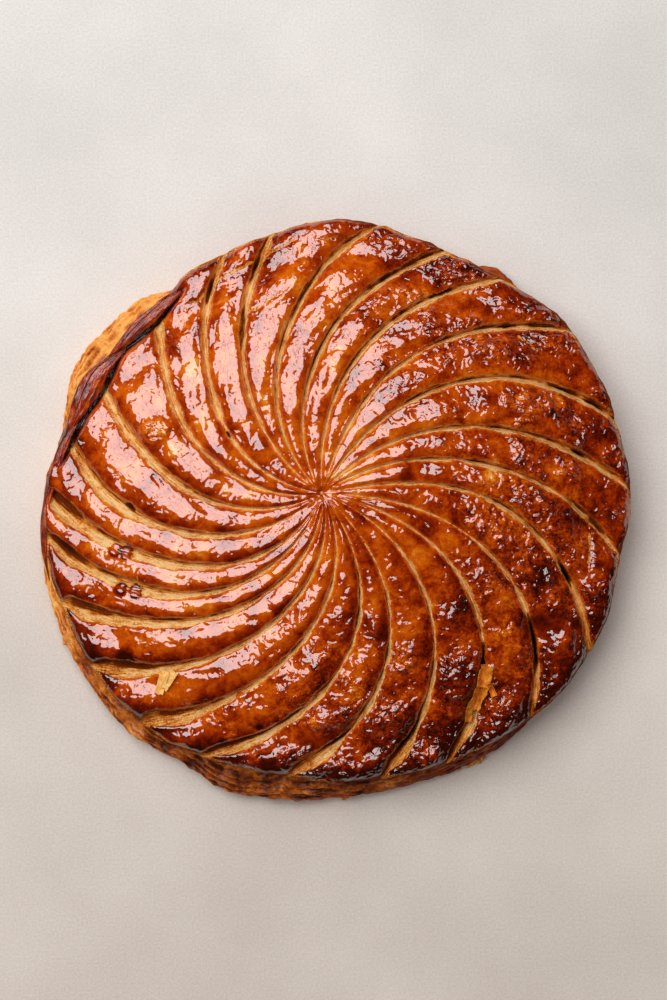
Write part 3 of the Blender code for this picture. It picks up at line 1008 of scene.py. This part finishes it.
# %% The stage
FLOOR_SIZE = 4.0
PLASTER = ((0.38, (0.72, 0.68, 0.645)), (0.62, (0.91, 0.86, 0.825)))
# plaster where the board is painted darker and warmer
SHADED_WARM_PLASTER = ((0.38, (0.68, 0.585, 0.51)), (0.62, (0.85, 0.75, 0.67)))
bm = bmesh.new()
bmesh.ops.create_grid(bm, x_segments=1, y_segments=1, size=FLOOR_SIZE / 2)
floor_mesh = bpy.data.meshes.new("floor")
bm.to_mesh(floor_mesh)
bm.free()
floor = bpy.data.objects.new("floor", floor_mesh)
bpy.context.scene.collection.objects.link(floor)
material, tree, shader = new_material("plaster")
cloud = grain(tree, 130, detail=6) * 0.5 + grain(tree, 1.1, detail=3, roughness=0.7) * 0.5
place = node(tree, "ShaderNodeTexCoord", {}, (), output="Object")
down_frame = node(tree, "ShaderNodeSeparateXYZ", {}, (place,), "Y")
# Painted light: the board darkens and warms towards the bottom of the frame, for the window's falloff and
# warm bounce.
warm_falloff_shade = down_frame.between(0.2, -0.25) * 0.9
colour = mix(tree, warm_falloff_shade, ramp(tree, cloud, PLASTER), ramp(tree, cloud, SHADED_WARM_PLASTER))
links = {"Base Color": colour, "Normal": bump(tree, grain(tree, 1.2) * 0.15)}
finish_shader(tree, shader, {"Roughness": 0.9}, links)
floor_mesh.materials.append(material)

# %% The window's two panes
WINDOW_BEARING, WINDOW_FROM_ZENITH, WINDOW_AWAY = 127.0, 29.0, 1.25
PANE_WIDTH, PANE_HEIGHT, PANE_GAP = 0.51, 0.96, 0.03
PANE_WATTS = 6.3
ROOM_LIGHT, ROOM_LIGHT_FROM_WINDOW = 0.31, 0.18  # all round, and how much more from the window's side


def aim(thing, target):
    thing.rotation_euler = (Vector(target) - thing.location).to_track_quat("-Z", "Y").to_euler()


bearing, lean = np.radians(WINDOW_BEARING), np.radians(WINDOW_FROM_ZENITH)
towards = Vector((np.cos(bearing) * np.sin(lean), np.sin(bearing) * np.sin(lean), np.cos(lean)))
sideways = Vector((-np.sin(bearing), np.cos(bearing), 0))
for side_sign in (-1, 1):
    lamp = bpy.data.lights.new("pane", "AREA")
    lamp.shape, lamp.size, lamp.size_y = "RECTANGLE", PANE_WIDTH, PANE_HEIGHT
    lamp.energy = PANE_WATTS
    pane = bpy.data.objects.new("pane", lamp)
    bpy.context.scene.collection.objects.link(pane)
    pane.location = towards * WINDOW_AWAY + sideways * side_sign * (PANE_WIDTH + PANE_GAP) / 2
    aim(pane, sideways * side_sign * (PANE_WIDTH + PANE_GAP) / 2)

world = bpy.data.worlds.new("room")
world.use_nodes = True
tree = world.node_tree
direction = node(tree, "ShaderNodeTexCoord", {}, (), output="Generated")
towards_window = (np.cos(bearing), np.sin(bearing), 0.0)
both = (direction, towards_window)
facing = node(tree, "ShaderNodeVectorMath", {"operation": "DOT_PRODUCT"}, both, "Value")
strength = ROOM_LIGHT + facing * ROOM_LIGHT_FROM_WINDOW
background = tree.nodes["Background"]
background.inputs["Color"].default_value = (1.0, 0.98, 0.95, 1)
tree.links.new(strength.socket, background.inputs["Strength"])
world.cycles_visibility.glossy = False
bpy.context.scene.world = world
bpy.context.scene.view_settings.view_transform = "Standard"

# %% The camera
WIDTH_IN_FRAME = 0.88906  # share of the frame's width that the cake fills
CAMERA_DROP = 0.0059  # the cake sits this far under the middle of the frame, m
FOCAL, SENSOR, FRAME_SHAPE = 68.0, 36.0, 0.667  # mm, mm, and width over height
RIM_Z = 0.022  # height at which that width is measured, m
cake_width = (high[0] - low[0]) * MM
distance = cake_width / WIDTH_IN_FRAME * FOCAL / (SENSOR * FRAME_SHAPE) + RIM_Z
camera = bpy.data.objects.new("camera", bpy.data.cameras.new("camera"))
camera.data.lens, camera.data.sensor_width = FOCAL, SENSOR
camera.location = (0, CAMERA_DROP, distance)
bpy.context.scene.collection.objects.link(camera)
bpy.context.scene.camera = camera
print("the camera hangs", round(distance, 3), "m over the floor")
